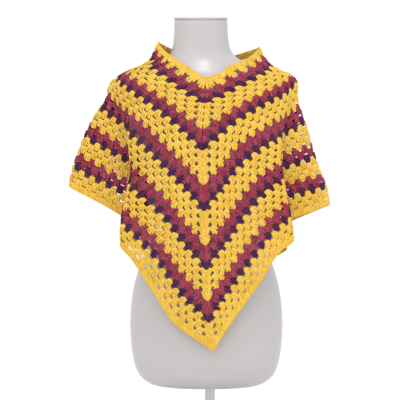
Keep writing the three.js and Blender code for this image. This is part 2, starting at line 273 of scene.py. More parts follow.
def quarter_lines(rows, side, face):
    """A quarter of each row at even shares of its length, and that length."""
    even = np.linspace(0, 1, WALK_STEPS + 1)
    angles = np.broadcast_to((1 - even) * math.pi / 2, (len(rows), len(even)))
    along = np.broadcast_to(even, angles.shape)
    for _ in range(WALK_PASSES):
        points = cloth_points(angles, row_heights(rows, along, side, face), side, face)
        steps = np.linalg.norm(np.diff(points, axis=1), axis=-1)
        lengths = np.concatenate([np.zeros((len(rows), 1)), np.cumsum(steps, axis=1)], axis=1)
        along = lengths / lengths[:, -1:]
    points = cloth_points(angles, row_heights(rows, along, side, face), side, face)
    resampled = np.stack([
        np.stack([np.interp(even, along[i], points[i, :, axis]) for axis in range(3)], axis=-1)
        for i in range(len(rows))
    ])
    return flatten_corner(resampled, lengths[:, -1]), lengths[:, -1]


def unit(vectors):
    """The same vectors at length one."""
    return vectors / np.linalg.norm(vectors, axis=-1, keepdims=True)


class Drape:
    """The middle surface of the hanging cloth, read by place along a round and by row.

    A round runs from 0 at the centre front over 1 at the right side line, 2 at the centre back and 3 at
    the left side line to 4, which is the centre front again.
    """

    def __init__(self):
        count = round((HEM_EDGE_BOTTOM - NECK_EDGE_TOP) / LINE_APART)
        self.rows = np.linspace(NECK_EDGE_TOP, HEM_EDGE_BOTTOM, count + 1)
        quarters = [quarter_lines(self.rows, side, face)
                    for side, face in ((1, "front"), (1, "back"), (-1, "back"), (-1, "front"))]
        front_right, back_right, back_left, front_left = [points for points, _ in quarters]
        self.points = np.concatenate([
            front_right[:, :-1], back_right[:, :0:-1], back_left[:, :-1], front_left[:, :0:-1],
        ], axis=1)
        self.lengths = np.stack([length for _, length in quarters], axis=-1)
        around = np.roll(self.points, -1, axis=1) - np.roll(self.points, 1, axis=1)
        out = unit(np.cross(np.gradient(self.points, axis=0), around))
        self.grid = np.concatenate([self.points, unit(around), out], axis=-1)

    def at(self, place, row):
        """Point, direction along the row, direction out of the cloth, and direction down it."""
        line = np.clip((row - self.rows[0]) / LINE_APART, 0, len(self.rows) - 1 - JUST_INSIDE)
        low = np.floor(line).astype(int)
        down = (line - low)[..., None]
        step = np.mod(place, 4) * WALK_STEPS
        left = np.floor(step).astype(int) % self.points.shape[1]
        right = (left + 1) % self.points.shape[1]
        over = (step - np.floor(step))[..., None]
        upper = self.grid[low, left] * (1 - over) + self.grid[low, right] * over
        lower = self.grid[low + 1, left] * (1 - over) + self.grid[low + 1, right] * over
        mixed = upper * (1 - down) + lower * down
        point = mixed[..., :3]
        along = unit(mixed[..., 3:6])
        out = unit(mixed[..., 6:])
        return point, along, out, unit(np.cross(along, out))

    def length(self, quarter, row):
        """Length of one quarter of a round, 0 to 3 anticlockwise from the centre front."""
        line = np.clip((np.asarray(row) - self.rows[0]) / LINE_APART, 0, len(self.rows) - 1)
        return self.lengths[np.round(line).astype(int), quarter]


def clusters_on(row):
    """Clusters on a quarter of a row."""
    return FIRST_CLUSTERS + row / 2


def cluster_places(row):
    """Middles of the clusters on half a round, in cluster widths from one corner to the other."""
    count = round(2 * clusters_on(row))
    number = np.arange(count + 1, dtype=float)
    most = min(CORNER_PUSH_MOST, CORNER_PUSH + CORNER_GROWTH * row)
    push = most * (np.exp(-CORNER_FADE * (number - 1)) - np.exp(-CORNER_FADE * (count - 1 - number)))
    push[0] = push[-1] = 0
    return number + push


def gap_places(row):
    """Middles of the gaps between the clusters on half a round, in cluster widths from a corner."""
    places = cluster_places(row)
    gaps = (places[:-1] + places[1:]) / 2
    gaps[0] = places[1] - CORNER_NEIGHBOUR
    gaps[-1] = places[-2] + CORNER_NEIGHBOUR
    return gaps


def scallop(row, places):
    """How deep in the scallop each place on a round lies: 0 at clusters' middles, 1 in the gaps."""
    middles = cluster_places(row)
    gaps = gap_places(row)
    knots = np.empty(len(middles) + len(gaps))
    knots[0::2] = middles
    knots[1::2] = gaps
    half = np.mod(places, middles[-1])
    phase = np.interp(half, knots, np.arange(len(knots)) / 2)
    return np.sin(math.pi * phase) ** 2


class Mesh:
    """Gathers closed tubes and makes one object of them."""

    def __init__(self):
        self.points, self.quads, self.caps, self.runs, self.tones = [], [], [], [], []
        self.count = 0

    def add_tubes(self, centres, across, through, sides, run, tone, closed=False):
        """Tubes whose sections are ellipses. centres is tubes x sections x 3, across and through are
        each section's half axes as vectors, run the place along the yarn, and tone one value a tube."""
        tubes, sections = centres.shape[:2]
        turn = 2 * math.pi * np.arange(sides) / sides
        ring = (centres[:, :, None] + across[:, :, None] * np.cos(turn)[:, None]
                + through[:, :, None] * np.sin(turn)[:, None])
        self.points.append(ring.reshape(-1, 3))
        index = self.count + np.arange(tubes * sections * sides).reshape(tubes, sections, sides)
        self.count += index.size
        near = index if closed else index[:, :-1]
        far = np.roll(index, -1, axis=1) if closed else index[:, 1:]
        quads = np.stack([near, np.roll(near, -1, axis=2), np.roll(far, -1, axis=2), far], -1)
        self.quads.append(quads.reshape(-1, 4))
        starts = np.broadcast_to(run[..., None], run.shape + (sides,))
        first = starts if closed else starts[:, :-1]
        last = np.roll(starts, -1, axis=1) if closed else starts[:, 1:]
        if closed:
            last[:, -1] = starts[:, -1] + (run[:, 1] - run[:, 0])[:, None]
        low = np.broadcast_to(np.arange(sides) / sides, near.shape)
        high = low + 1 / sides
        self.runs.append(np.stack([first, low, first, high, last, high, last, low], -1).reshape(-1, 2))
        if not closed:
            self.caps.append((sides, index[:, 0, ::-1], index[:, -1]))
        self.tones.append(np.broadcast_to(tone[:, None, None], index.shape).reshape(-1))

    def build(self, name):
        """One mesh object at the origin, in metres."""
        points = np.concatenate(self.points) * MM
        quads = np.concatenate(self.quads)
        corners = [quads.reshape(-1)]
        sizes = [np.full(len(quads), 4)]
        runs = [np.concatenate(self.runs)]
        for sides, first, last in self.caps:
            both = np.concatenate([first, last])
            corners.append(both.reshape(-1))
            sizes.append(np.full(len(both), sides))
            runs.append(np.zeros((both.size, 2)))
        corners = np.concatenate(corners)
        sizes = np.concatenate(sizes)
        mesh = bpy.data.meshes.new(name)
        mesh.vertices.add(len(points))
        mesh.vertices.foreach_set("co", points.astype(np.float32).reshape(-1))
        mesh.loops.add(len(corners))
        mesh.loops.foreach_set("vertex_index", corners.astype(np.int32))
        mesh.polygons.add(len(sizes))
        starts = np.concatenate([[0], np.cumsum(sizes)[:-1]]).astype(np.int32)
        mesh.polygons.foreach_set("loop_start", starts)
        mesh.polygons.foreach_set("use_smooth", np.ones(len(sizes), bool))
        mesh.update(calc_edges=True)
        runs = np.concatenate(runs).astype(np.float32).reshape(-1)
        mesh.uv_layers.new(name="yarn").data.foreach_set("uv", runs)
        tones = np.concatenate(self.tones).astype(np.float32)
        mesh.attributes.new("tone", "FLOAT", "POINT").data.foreach_set("value", tones)
        made = bpy.data.objects.new(name, mesh)
        bpy.context.scene.collection.objects.link(made)
        return made


# How a post runs from behind the chain above, over it, and down to its own row: the share of the way
# from the row above, how far it has spread from its top's place to its foot's, millimetres down and
# millimetres out, its half width and half depth, and how far it leans, in radians.
POST_PATH = table(["share", "spread", "down", "out", "wide", "deep", "lean"], [
    [0, 0, -1.6, -1.1, 1.2, 0.7, 0],
    [0, 0, -2.2, 0, 2.0, 1.0, 0],
    [0, 0.05, -0.4, 1.4, 2.6, 1.1, 0.1],
    [0, 0.3, 2.8, 1.3, 2.95, 1.2, 0.25],
    [0.55, 0.78, 0, 0.8, 3.05, 1.3, 0.3],
    [1, 1, -2.2, 0.3, 2.95, 1.2, 0.25],
    [1, 1, 0.2, 0, 1.8, 0.8, 0.1],
])[1]
EDGE_POSTS = 6              # single crochets of an edging on a cluster's width
EDGE_SIZE = 1.02            # how thick they are, as a share of other stitches
FIRST_SIZE = 1.12           # how thick the first round's stitches are, which is worked firmly
OUT_WANDER = 0.5            # how far stitches stray out of the cloth, as a share of how far along it
LEAN_WANDER = 0.12          # how much their lean differs, in radians
SIZE_WANDER = 0.05          # how much their thickness differs


class Crochet:
    """Stitches of one band after another, on the drape."""

    def __init__(self, drape, sizes):
        self.drape = drape
        self.sizes = sizes
        self.random = np.random.default_rng(sizes.seed)

    def pitch(self, row, place):
        """Width of a cluster in millimetres at places on a round."""
        quarter = np.floor(np.mod(place, 4)).astype(int)
        return self.drape.length(quarter, row) / clusters_on(row)

    def dip(self, row):
        """How far the gaps of a row are pulled up by the row below."""
        depth = self.sizes.scallop / MM
        return depth if row > 0 else depth * FOUNDATION_DIP

    def round_clusters(self, row):
        """The middles of the clusters that a whole round's posts stand in, at the posts' feet and at
        their tops, in cluster widths on those rows, and how far each post stands off, in millimetres."""
        whole = round(2 * clusters_on(row))
        middles = cluster_places(row)[1:-1]
        hooks = gap_places(row - 1)
        foot, top, foot_off, top_off = [], [], [], []
        for half in (0, 1):
            for post in (-1, 0, 1):
                foot.append(middles + half * whole)
                top.append(hooks + half * (whole - 1))
                foot_off.append(np.full(len(middles), post * self.sizes.post_gap / MM))
                top_off.append(np.full(len(middles), post * self.sizes.hook_gap / MM))
            foot.append(np.full(len(CORNER_FEET), half * whole, float))
            top.append(np.full(len(CORNER_TOPS), half * (whole - 1), float))
            foot_off.append(CORNER_FEET * self.sizes.corner_gap / MM)
            top_off.append(CORNER_TOPS * self.sizes.corner_hook / MM)
        return [np.concatenate(part) for part in (foot, top, foot_off, top_off)]

    def add_posts(self, mesh, row, upper, place, top_place, foot_dip, top_dip, size, sense=1):
        """Posts from the row above, called upper, down to a row, at places on their rounds. Size is
        their thickness as a share of most stitches', and a sense of minus one works them upward."""
        count = len(place)
        path = POST_PATH
        share = path["share"]
        wander = self.random.normal(0, 1, (4, count))
        rows = upper + (row - upper) * share
        turning = top_place[:, None] * (1 - path["spread"]) + place[:, None] * path["spread"]
        middle, along, out, down = self.drape.at(turning, np.broadcast_to(rows, turning.shape))
        offset = (path["down"] * sense - np.where(share == 0, top_dip[:, None], 0)
                  - np.where(share == 1, foot_dip[:, None], 0))
        bow = path["out"] + wander[0][:, None] * self.sizes.wander / MM * OUT_WANDER
        centres = middle + down * offset[..., None] + out * bow[..., None]
        centres = centres + along * (wander[1][:, None] * self.sizes.wander / MM * share)[..., None]
        across_path = unit(np.gradient(centres, axis=1))
        flat = unit(along - (along * across_path).sum(-1, keepdims=True) * across_path)
        deep = np.cross(across_path, flat)
        lean = path["lean"] + wander[2][:, None] * LEAN_WANDER * (share > 0)
        scale = size * (1 + SIZE_WANDER * wander[3])[:, None]
        wide = self.sizes.yarn / MM * scale * path["wide"]
        thick = self.sizes.yarn / MM * scale * path["deep"]
        across = (flat * np.cos(lean)[..., None] + deep * np.sin(lean)[..., None]) * wide[..., None]
        through = (deep * np.cos(lean)[..., None] - flat * np.sin(lean)[..., None]) * thick[..., None]
        steps = np.linalg.norm(np.diff(centres, axis=1), axis=-1)
        run = np.concatenate([np.zeros((count, 1)), np.cumsum(steps, axis=1)], axis=1) / RUN_LENGTH
        run = run + self.random.uniform(0, 1, (count, 1))
        mesh.add_tubes(centres, across, through, POST_SIDES, run, self.random.uniform(0, 1, count))

    def add_chain(self, mesh, row, line, dip, shape):
        """The chain of loops along a row's foot, once round."""
        count = round(4 * clusters_on(row)) * CHAIN_STEPS
        places = np.arange(count) / CHAIN_STEPS
        place = places / clusters_on(row)
        middle, _, out, down = self.drape.at(place, np.full(count, float(line)))
        gap = scallop(row, places)
        centres = middle - down * (dip * gap)[:, None] + out * (CHAIN_OUT * (1 - gap))[:, None]
        path = unit(np.roll(centres, -1, axis=0) - np.roll(centres, 1, axis=0))
        flat = unit(np.cross(out, path))
        swell = (1 - shape["thin"] * gap) * self.sizes.yarn / MM
        across = flat * (shape["wide"] * swell)[:, None]
        through = np.cross(path, flat) * (shape["deep"] * swell)[:, None]
        run = np.cumsum(np.linalg.norm(np.roll(centres, -1, axis=0) - centres, axis=-1)) / RUN_LENGTH
        tone = self.random.uniform(*CHAIN_TONES, 1)
        mesh.add_tubes(centres[None], across[None], through[None], CHAIN_SIDES, run[None], tone,
                       closed=True)

    def add_round(self, mesh, row):
        """A round of clusters with its chain."""
        foot, top, foot_off, top_off = self.round_clusters(row)
        count, above = clusters_on(row), clusters_on(row - 1)
        place = (foot + foot_off / (self.sizes.cluster / MM)) / count
        top_place = (top + top_off / self.pitch(row - 1, top / above + JUST_INSIDE)) / above
        foot_dip = self.dip(row) * scallop(row, place * count)
        in_corner = foot % (count * 2) == 0
        top_dip = self.dip(row - 1) * np.where(in_corner, CORNER_DIP, 1)
        size = FIRST_SIZE if row == 1 else 1
        self.add_posts(mesh, row, row - 1, place, top_place, foot_dip, top_dip, size)
        self.add_chain(mesh, row, row, self.dip(row), ROW_CHAIN)

    def add_edging(self, mesh, row, line):
        """Single crochet along an edge: from the row's chain to the edge's own line."""
        count = round(4 * clusters_on(row)) * EDGE_POSTS
        place = (np.arange(count) + 0.5) / count * 4
        dip = self.dip(row) * scallop(row, place * clusters_on(row))
        sense = 1 if line > row else -1
        self.add_posts(mesh, line, row, place, place, np.zeros(count), dip, EDGE_SIZE, sense)
        self.add_chain(mesh, row, line, 0, EDGE_CHAIN)


def list_bands():
    """The bands from the neck down: name, colour, and the rows it covers."""
    bands = []
    bottom = 0
    count = {"yellow": 0, "magenta": 0, "purple": 0}
    for colour, rows in FIRST_STRIPES + STRIPE_ROWS * LAST_ROW:
        if bottom < LAST_ROW:
            rows = min(rows, LAST_ROW - bottom)
            count[colour] += 1
            bands.append((f"{colour}_band_{count[colour]}", colour, bottom, bottom + rows))
            bottom += rows
    return bands


def deselect():
    """Nothing selected and nothing active."""
    for thing in bpy.context.selected_objects:
        thing.select_set(False)
    bpy.context.view_layer.objects.active = None


def only(thing):
    """One object selected and active."""
    deselect()
    thing.select_set(True)
    bpy.context.view_layer.objects.active = thing


def group_socket(tree, name, kind, way, default=None):
    """Gives a node group a named input or output."""
    made = tree.interface.new_socket(name=name, in_out=way, socket_type=kind)
    if default is not None:
        made.default_value = default


class Nodes:
    """Short hand for placing and joining shader nodes."""

    def __init__(self, tree):
        self.tree = tree

    def add(self, kind, **values):
        """A new node with its settings."""
        node = self.tree.nodes.new(kind)
        for name, value in values.items():
            setattr(node, name, value)
        return node

    def join(self, source, target):
        """A link from an output to an input."""
        self.tree.links.new(source, target)

    def give(self, socket, given):
        """Joins an output to a socket, or sets the socket to a plain value."""
        if hasattr(given, "is_output"):
            self.join(given, socket)
        else:
            socket.default_value = given

    def value(self, operation, first, second=None, clamp=False):
        """The result of a Math node."""
        node = self.add("ShaderNodeMath", operation=operation, use_clamp=clamp)
        self.give(node.inputs[0], first)
        if second is not None:
            self.give(node.inputs[1], second)
        return node.outputs[0]

    def weigh(self, *pairs):
        """The sum of values that each come with their weight."""
        total = None
        for given, weight in pairs:
            part = self.value("MULTIPLY", given, weight)
            total = part if total is None else self.value("ADD", total, part)
        return total

    def mix(self, share, first, second):
        """A colour between two others. A Mix node's inputs 0, 6 and 7 are its share and the two colours,
        and its output 2 is the colour between them."""
        node = self.add("ShaderNodeMix", data_type="RGBA")
        for number, given in ((0, share), (6, first), (7, second)):
            self.give(node.inputs[number], given)
        return node.outputs[2]

    def noise(self, vector, scale, detail=2.0, roughness=0.5):
        """The value of a Noise Texture node."""
        node = self.add("ShaderNodeTexNoise")
        self.join(vector, node.inputs["Vector"])
        node.inputs["Scale"].default_value = scale
        node.inputs["Detail"].default_value = detail
        node.inputs["Roughness"].default_value = roughness
        return node.outputs["Fac"]


# The plied yarn's look: how much each effect adds, and from what sum on the light and deep tones show.
PLY_HEIGHT = 0.75
FIBRE_HEIGHT = 0.35
FIBRES_ROUND = 9.0          # how fine the fibres are round the yarn
FIBRES_ALONG = 3.0          # and along it
# The painted shade in the grooves between the plies: how narrow it is and how dark it goes.
PLY_SHADE_POWER = 0.6          # lower is narrower
PLY_SHADE_DEPTH = 0.75
LIGHT_WEIGHTS = {"clouds": 0.5, "tone": 0.5, "specks": 0.6}
LIGHT_FROM = 0.55
DEEP_WEIGHTS = {"specks": 0.5, "tone": 0.35}
DEEP_BELOW = 0.62
YARN_ROUGHNESS = 0.82
FIBRE_ROUGHNESS = 0.16

# Each yarn's lighter colour, which its mottle lifts it to and which tints its sheen, its darker colour,
# which is painted shade in the grooves between the plies and also its darker mottle, and how mottled it
# is.
YARN_TONES = {
    "yellow": {"light": (0.93, 0.68, 0.17), "deep": (0.58, 0.26, 0.018), "mottle": 0.6},
    "magenta": {"light": (0.46, 0.10, 0.14), "deep": (0.14, 0.010, 0.022), "mottle": 0.8},
    "purple": {"light": (0.13, 0.040, 0.11), "deep": (0.022, 0.006, 0.022), "mottle": 0.7},
}


def yarn_group():
    """Plied yarn along a piece's own UV map: a colour with painted shade in the grooves between the
    plies, and a height.
    """
    name = "plied_yarn"
    if name in bpy.data.node_groups:
        return bpy.data.node_groups[name]
    tree = bpy.data.node_groups.new(name, "ShaderNodeTree")
    group_socket(tree, "Colour", "NodeSocketColor", "INPUT", (0.8, 0.5, 0.1, 1))
    group_socket(tree, "Deep Colour", "NodeSocketColor", "INPUT", (0.5, 0.3, 0.05, 1))
    group_socket(tree, "Light Colour", "NodeSocketColor", "INPUT", (0.9, 0.6, 0.2, 1))
    group_socket(tree, "Plies", "NodeSocketFloat", "INPUT", 2.0)
    group_socket(tree, "Twist", "NodeSocketFloat", "INPUT", 1.6)
    group_socket(tree, "Mottle", "NodeSocketFloat", "INPUT", 0.5)
    group_socket(tree, "Colour", "NodeSocketColor", "OUTPUT")
    group_socket(tree, "Height", "NodeSocketFloat", "OUTPUT")
    group_socket(tree, "Roughness", "NodeSocketFloat", "OUTPUT")
    n = Nodes(tree)
    given = n.add("NodeGroupInput").outputs
    result = n.add("NodeGroupOutput").inputs
    uv = n.add("ShaderNodeUVMap", uv_map="yarn")
    parts = n.add("ShaderNodeSeparateXYZ")
    n.join(uv.outputs["UV"], parts.inputs[0])
    turns = n.value("MULTIPLY", parts.outputs["X"], given["Twist"])
    twisted = n.value("ADD", turns, n.value("MULTIPLY", parts.outputs["Y"], given["Plies"]))
    ply = n.value("ABSOLUTE", n.value("SINE", n.value("MULTIPLY", twisted, math.pi)))
    stretched = n.add("ShaderNodeCombineXYZ")
    n.join(n.value("MULTIPLY", twisted, FIBRES_ROUND), stretched.inputs["X"])
    n.join(n.value("MULTIPLY", parts.outputs["X"], FIBRES_ALONG), stretched.inputs["Y"])
    fibres = n.noise(stretched.outputs[0], scale=3.0, detail=3.0, roughness=0.6)
    place = n.add("ShaderNodeTexCoord").outputs["Object"]
    effects = {
        "clouds": n.noise(place, scale=38.0),
        "specks": n.noise(place, scale=260.0),
        "tone": n.add("ShaderNodeAttribute", attribute_name="tone").outputs["Fac"],
    }
    n.join(n.weigh((ply, PLY_HEIGHT), (fibres, FIBRE_HEIGHT)), result["Height"])
    # Painted shade: the colour darkens into the grooves between the plies, where shade would fall.
    ply_shade = n.value("SUBTRACT", 1.0, n.value("POWER", ply, PLY_SHADE_POWER), clamp=True)
    base = n.mix(n.value("MULTIPLY", ply_shade, PLY_SHADE_DEPTH), given["Colour"], given["Deep Colour"])
    lightness = n.weigh(*[(effects[name], weight) for name, weight in LIGHT_WEIGHTS.items()])
    lifted = n.value("MULTIPLY", n.value("SUBTRACT", lightness, LIGHT_FROM), given["Mottle"], clamp=True)
    lit = n.mix(lifted, base, given["Light Colour"])
    shallow = n.weigh(*[(effects[name], weight) for name, weight in DEEP_WEIGHTS.items()])
    sunk = n.value("MULTIPLY", n.value("SUBTRACT", DEEP_BELOW, shallow), given["Mottle"], clamp=True)
    n.join(n.mix(sunk, lit, given["Deep Colour"]), result["Colour"])
    roughness = n.value("ADD", YARN_ROUGHNESS, n.value("MULTIPLY", fibres, FIBRE_ROUGHNESS))
    n.join(roughness, result["Roughness"])
    return tree


def new_material(name):
    """An empty node material, its shader and short hand for its nodes."""
    material = bpy.data.materials.new(name)
    material.use_nodes = True
    material.node_tree.nodes.clear()
    n = Nodes(material.node_tree)
    shader = n.add("ShaderNodeBsdfPrincipled")
    output = n.add("ShaderNodeOutputMaterial")
    n.join(shader.outputs[0], output.inputs["Surface"])
    return material, shader, n


def add_bump(n, shader, height, strength, distance):
    """A bump from a height into a shader's normal."""
    bump = n.add("ShaderNodeBump")
    bump.inputs["Strength"].default_value = strength
    bump.inputs["Distance"].default_value = distance
    n.join(height, bump.inputs["Height"])
    n.join(bump.outputs[0], shader.inputs["Normal"])


def opaque(colour, share=1.0):
    """A colour at a share of its lightness, with full alpha."""
    return (*[part * share for part in colour], 1)


def yarn_material(colours, colour):
    """Matt wool with its fuzz as sheen."""
    name = f"{colour}_wool"
    if name in bpy.data.materials:
        return bpy.data.materials[name]
    tones = YARN_TONES[colour]
    material, shader, n = new_material(name)
    group = n.add("ShaderNodeGroup")
    group.node_tree = yarn_group()
    group.inputs["Colour"].default_value = opaque(getattr(colours, colour))
    # The colour of the painted shade between the plies, also used for the darker mottle.
    group.inputs["Deep Colour"].default_value = opaque(tones["deep"])
    group.inputs["Light Colour"].default_value = opaque(tones["light"])
    group.inputs["Mottle"].default_value = tones["mottle"]
    n.join(group.outputs["Colour"], shader.inputs["Base Color"])
    n.join(group.outputs["Roughness"], shader.inputs["Roughness"])
    shader.inputs["Sheen Weight"].default_value = 0.25
    shader.inputs["Sheen Roughness"].default_value = 0.5
    shader.inputs["Sheen Tint"].default_value = opaque(tones["light"])
    shader.inputs["Specular IOR Level"].default_value = 0.15
    add_bump(n, shader, group.outputs["Height"], strength=0.7, distance=0.0008)
    return material


SHELL_CLOUDS = 0.94         # how dark the cloudy places are, as a share of the colour
SHELL_ROUGHNESS = 0.26
SCUFF_ROUGHNESS = 0.2       # how much rougher the scuffs are
CLOUD_HEIGHT = 2.0          # how high the clouds stand against the grain


def shell_material(colours):
    """Satin moulded plastic of the dress form, with faint cloudiness and fine scuffs."""
    name = "satin_shell"
    if name in bpy.data.materials:
        return bpy.data.materials[name]
    material, shader, n = new_material(name)
    place = n.add("ShaderNodeTexCoord").outputs["Object"]
    cloudy = n.noise(place, scale=6.0, detail=3.0)
    grain = n.noise(place, scale=900.0)
    scuffs = n.noise(place, scale=70.0, detail=5.0, roughness=0.7)
    tint = n.mix(cloudy, opaque(colours.shell), opaque(colours.shell, SHELL_CLOUDS))
    n.join(tint, shader.inputs["Base Color"])
    roughness = n.value("ADD", SHELL_ROUGHNESS, n.value("MULTIPLY", scuffs, SCUFF_ROUGHNESS))
    n.join(roughness, shader.inputs["Roughness"])
    shader.inputs["Specular IOR Level"].default_value = 0.3
    shader.inputs["Coat Weight"].default_value = 0.05
    shader.inputs["Coat Roughness"].default_value = 0.13
    height = n.value("ADD", grain, n.value("MULTIPLY", cloudy, CLOUD_HEIGHT))
    add_bump(n, shader, height, strength=0.05, distance=0.0004)
    return material


STEEL_WEAR = 0.82           # how dark the worn places are, as a share of the colour
BRUSHING_ROUGHNESS = 0.14   # how much rougher the brushing is


def steel_material(name, colour, stretch, roughness):
    """Satin steel with fine brushing stretched along one direction."""
    if name in bpy.data.materials:
        return bpy.data.materials[name]
    material, shader, n = new_material(name)
    place = n.add("ShaderNodeTexCoord").outputs["Object"]
    mapping = n.add("ShaderNodeMapping")
    mapping.inputs["Scale"].default_value = stretch
    n.join(place, mapping.inputs["Vector"])
    brushing = n.noise(mapping.outputs[0], scale=40.0, detail=3.0, roughness=0.6)
    wear = n.noise(place, scale=45.0, detail=4.0, roughness=0.65)
    n.join(n.mix(wear, opaque(colour), opaque(colour, STEEL_WEAR)), shader.inputs["Base Color"])
    shader.inputs["Metallic"].default_value = 1.0
    brushed = n.value("ADD", roughness, n.value("MULTIPLY", brushing, BRUSHING_ROUGHNESS))
    n.join(brushed, shader.inputs["Roughness"])
    add_bump(n, shader, brushing, strength=0.12, distance=0.0003)
    return material


def finish_mesh(thing, material, node):
    """Gives a finished piece its material and its body, and hides the frame node that it stands for."""
    thing.data.materials.clear()
    thing.data.materials.append(material)
    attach(thing, "root")
    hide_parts(node)


class PonchoSizes(bpy.types.PropertyGroup):
    """Sizes of the crochet."""

    cluster: FloatProperty(
        name="Cluster Width", description="Width along the row of three double crochets and a gap",
        default=0.026, min=0.01, max=0.05, subtype="DISTANCE", unit="LENGTH")
    row: FloatProperty(
        name="Row Height", description="Height of a row of crochet laid flat",
        default=0.0125, min=0.005, max=0.03, subtype="DISTANCE", unit="LENGTH")
    post_gap: FloatProperty(
        name="Post Spacing", description="Distance between the feet of a cluster's stitches",
        default=0.0062, min=0.003, max=0.012, subtype="DISTANCE", unit="LENGTH")
    hook_gap: FloatProperty(
        name="Hook Spacing", description="Distance between a cluster's stitches at their top",
        default=0.0034, min=0.001, max=0.006, subtype="DISTANCE", unit="LENGTH")
    corner_gap: FloatProperty(
        name="Corner Spacing", description="Distance between the feet of a corner's stitches",
        default=0.0064, min=0.003, max=0.012, subtype="DISTANCE", unit="LENGTH")
    corner_hook: FloatProperty(
        name="Corner Hook Spacing", description="Distance between a corner's stitches at their top",
        default=0.0046, min=0.001, max=0.008, subtype="DISTANCE", unit="LENGTH")
    yarn: FloatProperty(
        name="Yarn Scale", description="Thickness of the yarn, where one millimetre is as designed",
        default=0.001, min=0.0005, max=0.002, subtype="DISTANCE", unit="LENGTH")
    scallop: FloatProperty(
        name="Scallop Depth", description="How far the gaps of a row are pulled up",
        default=0.004, min=0.0, max=0.008, subtype="DISTANCE", unit="LENGTH")
    wander: FloatProperty(
        name="Hand Wander", description="How far hand-made stitches stray",
        default=0.00035, min=0.0, max=0.002, subtype="DISTANCE", unit="LENGTH")
    seed: IntProperty(name="Seed", description="Which hand made it", default=7, min=0, max=9999)


class PonchoColours(bpy.types.PropertyGroup):
    """Colours of the yarns, the form and the stand."""

    yellow: FloatVectorProperty(
        name="Yellow Yarn", description="Base colour of the yellow yarn",
        default=(0.79, 0.515, 0.066), min=0, max=1, size=3, subtype="COLOR")
    magenta: FloatVectorProperty(
        name="Magenta Yarn", description="Base colour of the magenta yarn",
        default=(0.31, 0.034, 0.070), min=0, max=1, size=3, subtype="COLOR")
    purple: FloatVectorProperty(
        name="Purple Yarn", description="Base colour of the purple yarn",
        default=(0.072, 0.016, 0.066), min=0, max=1, size=3, subtype="COLOR")
    shell: FloatVectorProperty(
        name="Form Shell", description="Colour of the dress form",
        default=(0.49, 0.468, 0.466), min=0, max=1, size=3, subtype="COLOR")
    steel: FloatVectorProperty(
        name="Stand Steel", description="Colour of the stand",
        default=(0.52, 0.52, 0.53), min=0, max=1, size=3, subtype="COLOR")


class StageSettings(bpy.types.PropertyGroup):
    """Floor, light and camera."""

    floor_size: FloatProperty(
        name="Floor Size", description="Width of the floor",
        default=40.0, min=2, max=200, subtype="DISTANCE", unit="LENGTH")
    world_light: FloatProperty(
        name="World Light", description="Strength of the white surroundings",
        default=1.03, min=0, max=5, subtype="FACTOR")
    distance: FloatProperty(
        name="Camera Distance", description="From the camera to the middle of the poncho",
        default=3.3, min=0.5, max=20, subtype="DISTANCE", unit="LENGTH")
    elevation: FloatProperty(
        name="Camera Elevation", description="How far above the level the camera stands",
        default=math.radians(3), min=-1.5, max=1.5, subtype="ANGLE", unit="ROTATION")
    lens: FloatProperty(
        name="Camera Lens", description="Focal length for a sensor 36 mm wide",
        default=135.0, min=10, max=500, unit="CAMERA")


class PONCHO_OT_bands(bpy.types.Operator):
    """Crochet the colour bands in rounds from the neck down"""

    bl_idname = "poncho.crochet_bands"
    bl_label = "Crochet the Bands"

    @staticmethod
    def declare(sizes, piece, top, bottom, edging):
        """Crocheted flat, a band is a ring whose rounds grow by two clusters each."""

    def execute(self, context):
        sizes = context.scene.poncho_sizes
        colours = context.scene.poncho_colours
        crochet = Crochet(Drape(), sizes)
        for name, colour, top, bottom in list_bands():
            mesh = Mesh()
            for row in range(top + 1, bottom + 1):
                crochet.add_round(mesh, row)
            piece = mesh.build(f"crochet_{name}")
            finish_mesh(piece, yarn_material(colours, colour), name)
            edging = []
            for edge, (row, line) in EDGINGS.items():
                if row in (top, bottom):
                    edging.append(bpy.data.objects[f"crochet_{edge}"])
                    top, bottom = min(top, line), max(bottom, line)
            self.declare(sizes, piece, top, bottom, edging)
        return {"FINISHED"}


class PONCHO_OT_edgings(bpy.types.Operator):
    """Work the dense edgings round the neck and the hem"""

    bl_idname = "poncho.crochet_edgings"
    bl_label = "Crochet the Edgings"

    def execute(self, context):
        material = yarn_material(context.scene.poncho_colours, "yellow")
        crochet = Crochet(Drape(), context.scene.poncho_sizes)
        for name, (row, line) in EDGINGS.items():
            mesh = Mesh()
            crochet.add_edging(mesh, row, line)
            if row == 0:
                crochet.add_chain(mesh, row, row, crochet.dip(row), ROW_CHAIN)
            piece = mesh.build(f"crochet_{name}")
            finish_mesh(piece, material, name)
        return {"FINISHED"}


MERGE_DISTANCE = 0.00002
FLAT_ANGLE = math.radians(0.5)      # faces that meet within this angle become one
QUAD_ANGLE = math.radians(60)       # how uneven two triangles may be and still become a quad


def fine_copy(node, name):
    """A merged copy of a frame node in quads, at the same place."""
    deselect()
    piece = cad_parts[node].copy()
    piece.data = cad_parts[node].data.copy()
    piece.parent = None
    for key in list(piece.keys()):
        del piece[key]
    piece.name = piece.data.name = name
    bpy.context.scene.collection.objects.link(piece)
    only(piece)
    bpy.ops.object.mode_set(mode="EDIT")
    bpy.ops.mesh.select_all(action="SELECT")
    bpy.ops.mesh.remove_doubles(threshold=MERGE_DISTANCE)
    bpy.ops.mesh.customdata_custom_splitnormals_clear()
    bpy.ops.mesh.dissolve_limited(angle_limit=FLAT_ANGLE)
    bpy.ops.mesh.select_all(action="SELECT")
    bpy.ops.mesh.tris_convert_to_quads(face_threshold=QUAD_ANGLE, shape_threshold=QUAD_ANGLE)
    bpy.ops.object.mode_set(mode="OBJECT")
    return piece


